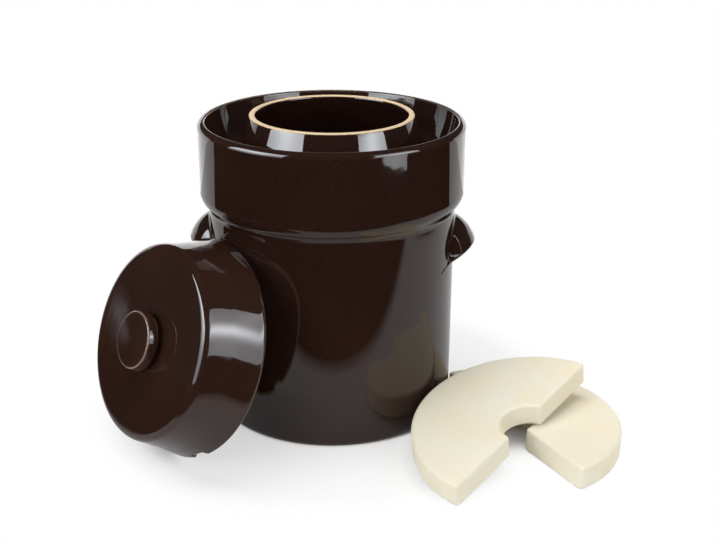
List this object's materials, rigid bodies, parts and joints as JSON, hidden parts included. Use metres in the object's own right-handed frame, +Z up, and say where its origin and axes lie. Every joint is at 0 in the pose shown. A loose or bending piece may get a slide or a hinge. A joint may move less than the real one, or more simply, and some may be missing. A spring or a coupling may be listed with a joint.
{
  "type": "fermentation crock",
  "caption": "Glazed stoneware fermentation crock with a water-gutter neck, shell handles, a leaning knobbed lid and half-ring weight stones.",
  "frame": {"origin": "centre of the crock's foot, on the floor", "axes": "+Z up along the crock's axis, the handles along +X and -X, the front towards -Y"},
  "size_m": [0.4364, 0.3087, 0.2581],
  "materials": {
    "glaze_pot": "glossy",
    "glaze_ring": "glossy",
    "glaze_handle": "glossy",
    "glaze_lid": "glossy",
    "glaze_knob": "glossy",
    "bare_clay": "matte"
  },
  "bodies": {
    "crock": {"pot": "glaze_pot", "gutter_ring": "glaze_ring", "handle_left": "glaze_handle", "handle_right": "glaze_handle"},
    "lid": {"lid_cap": "glaze_lid", "lid_knob": "glaze_knob"},
    "stone_lower": {"stone_lower": "bare_clay"},
    "stone_upper": {"stone_upper": "bare_clay"}
  },
  "joints": [
    {"name": "lid_lift", "type": "slide", "parent": "crock", "child": "lid", "axis": [-0.745, -0.5573, 0.3665], "range_m": [0, 0.25]},
    {"name": "stone_lower_lift", "type": "slide", "parent": "crock", "child": "stone_lower", "axis": [0.4231, -0.2664, 0.866], "range_m": [0, 0.3]},
    {"name": "stone_upper_lift", "type": "slide", "parent": "stone_lower", "child": "stone_upper", "axis": [0.4231, -0.2664, 0.866], "range_m": [0, 0.15]}
  ]
}
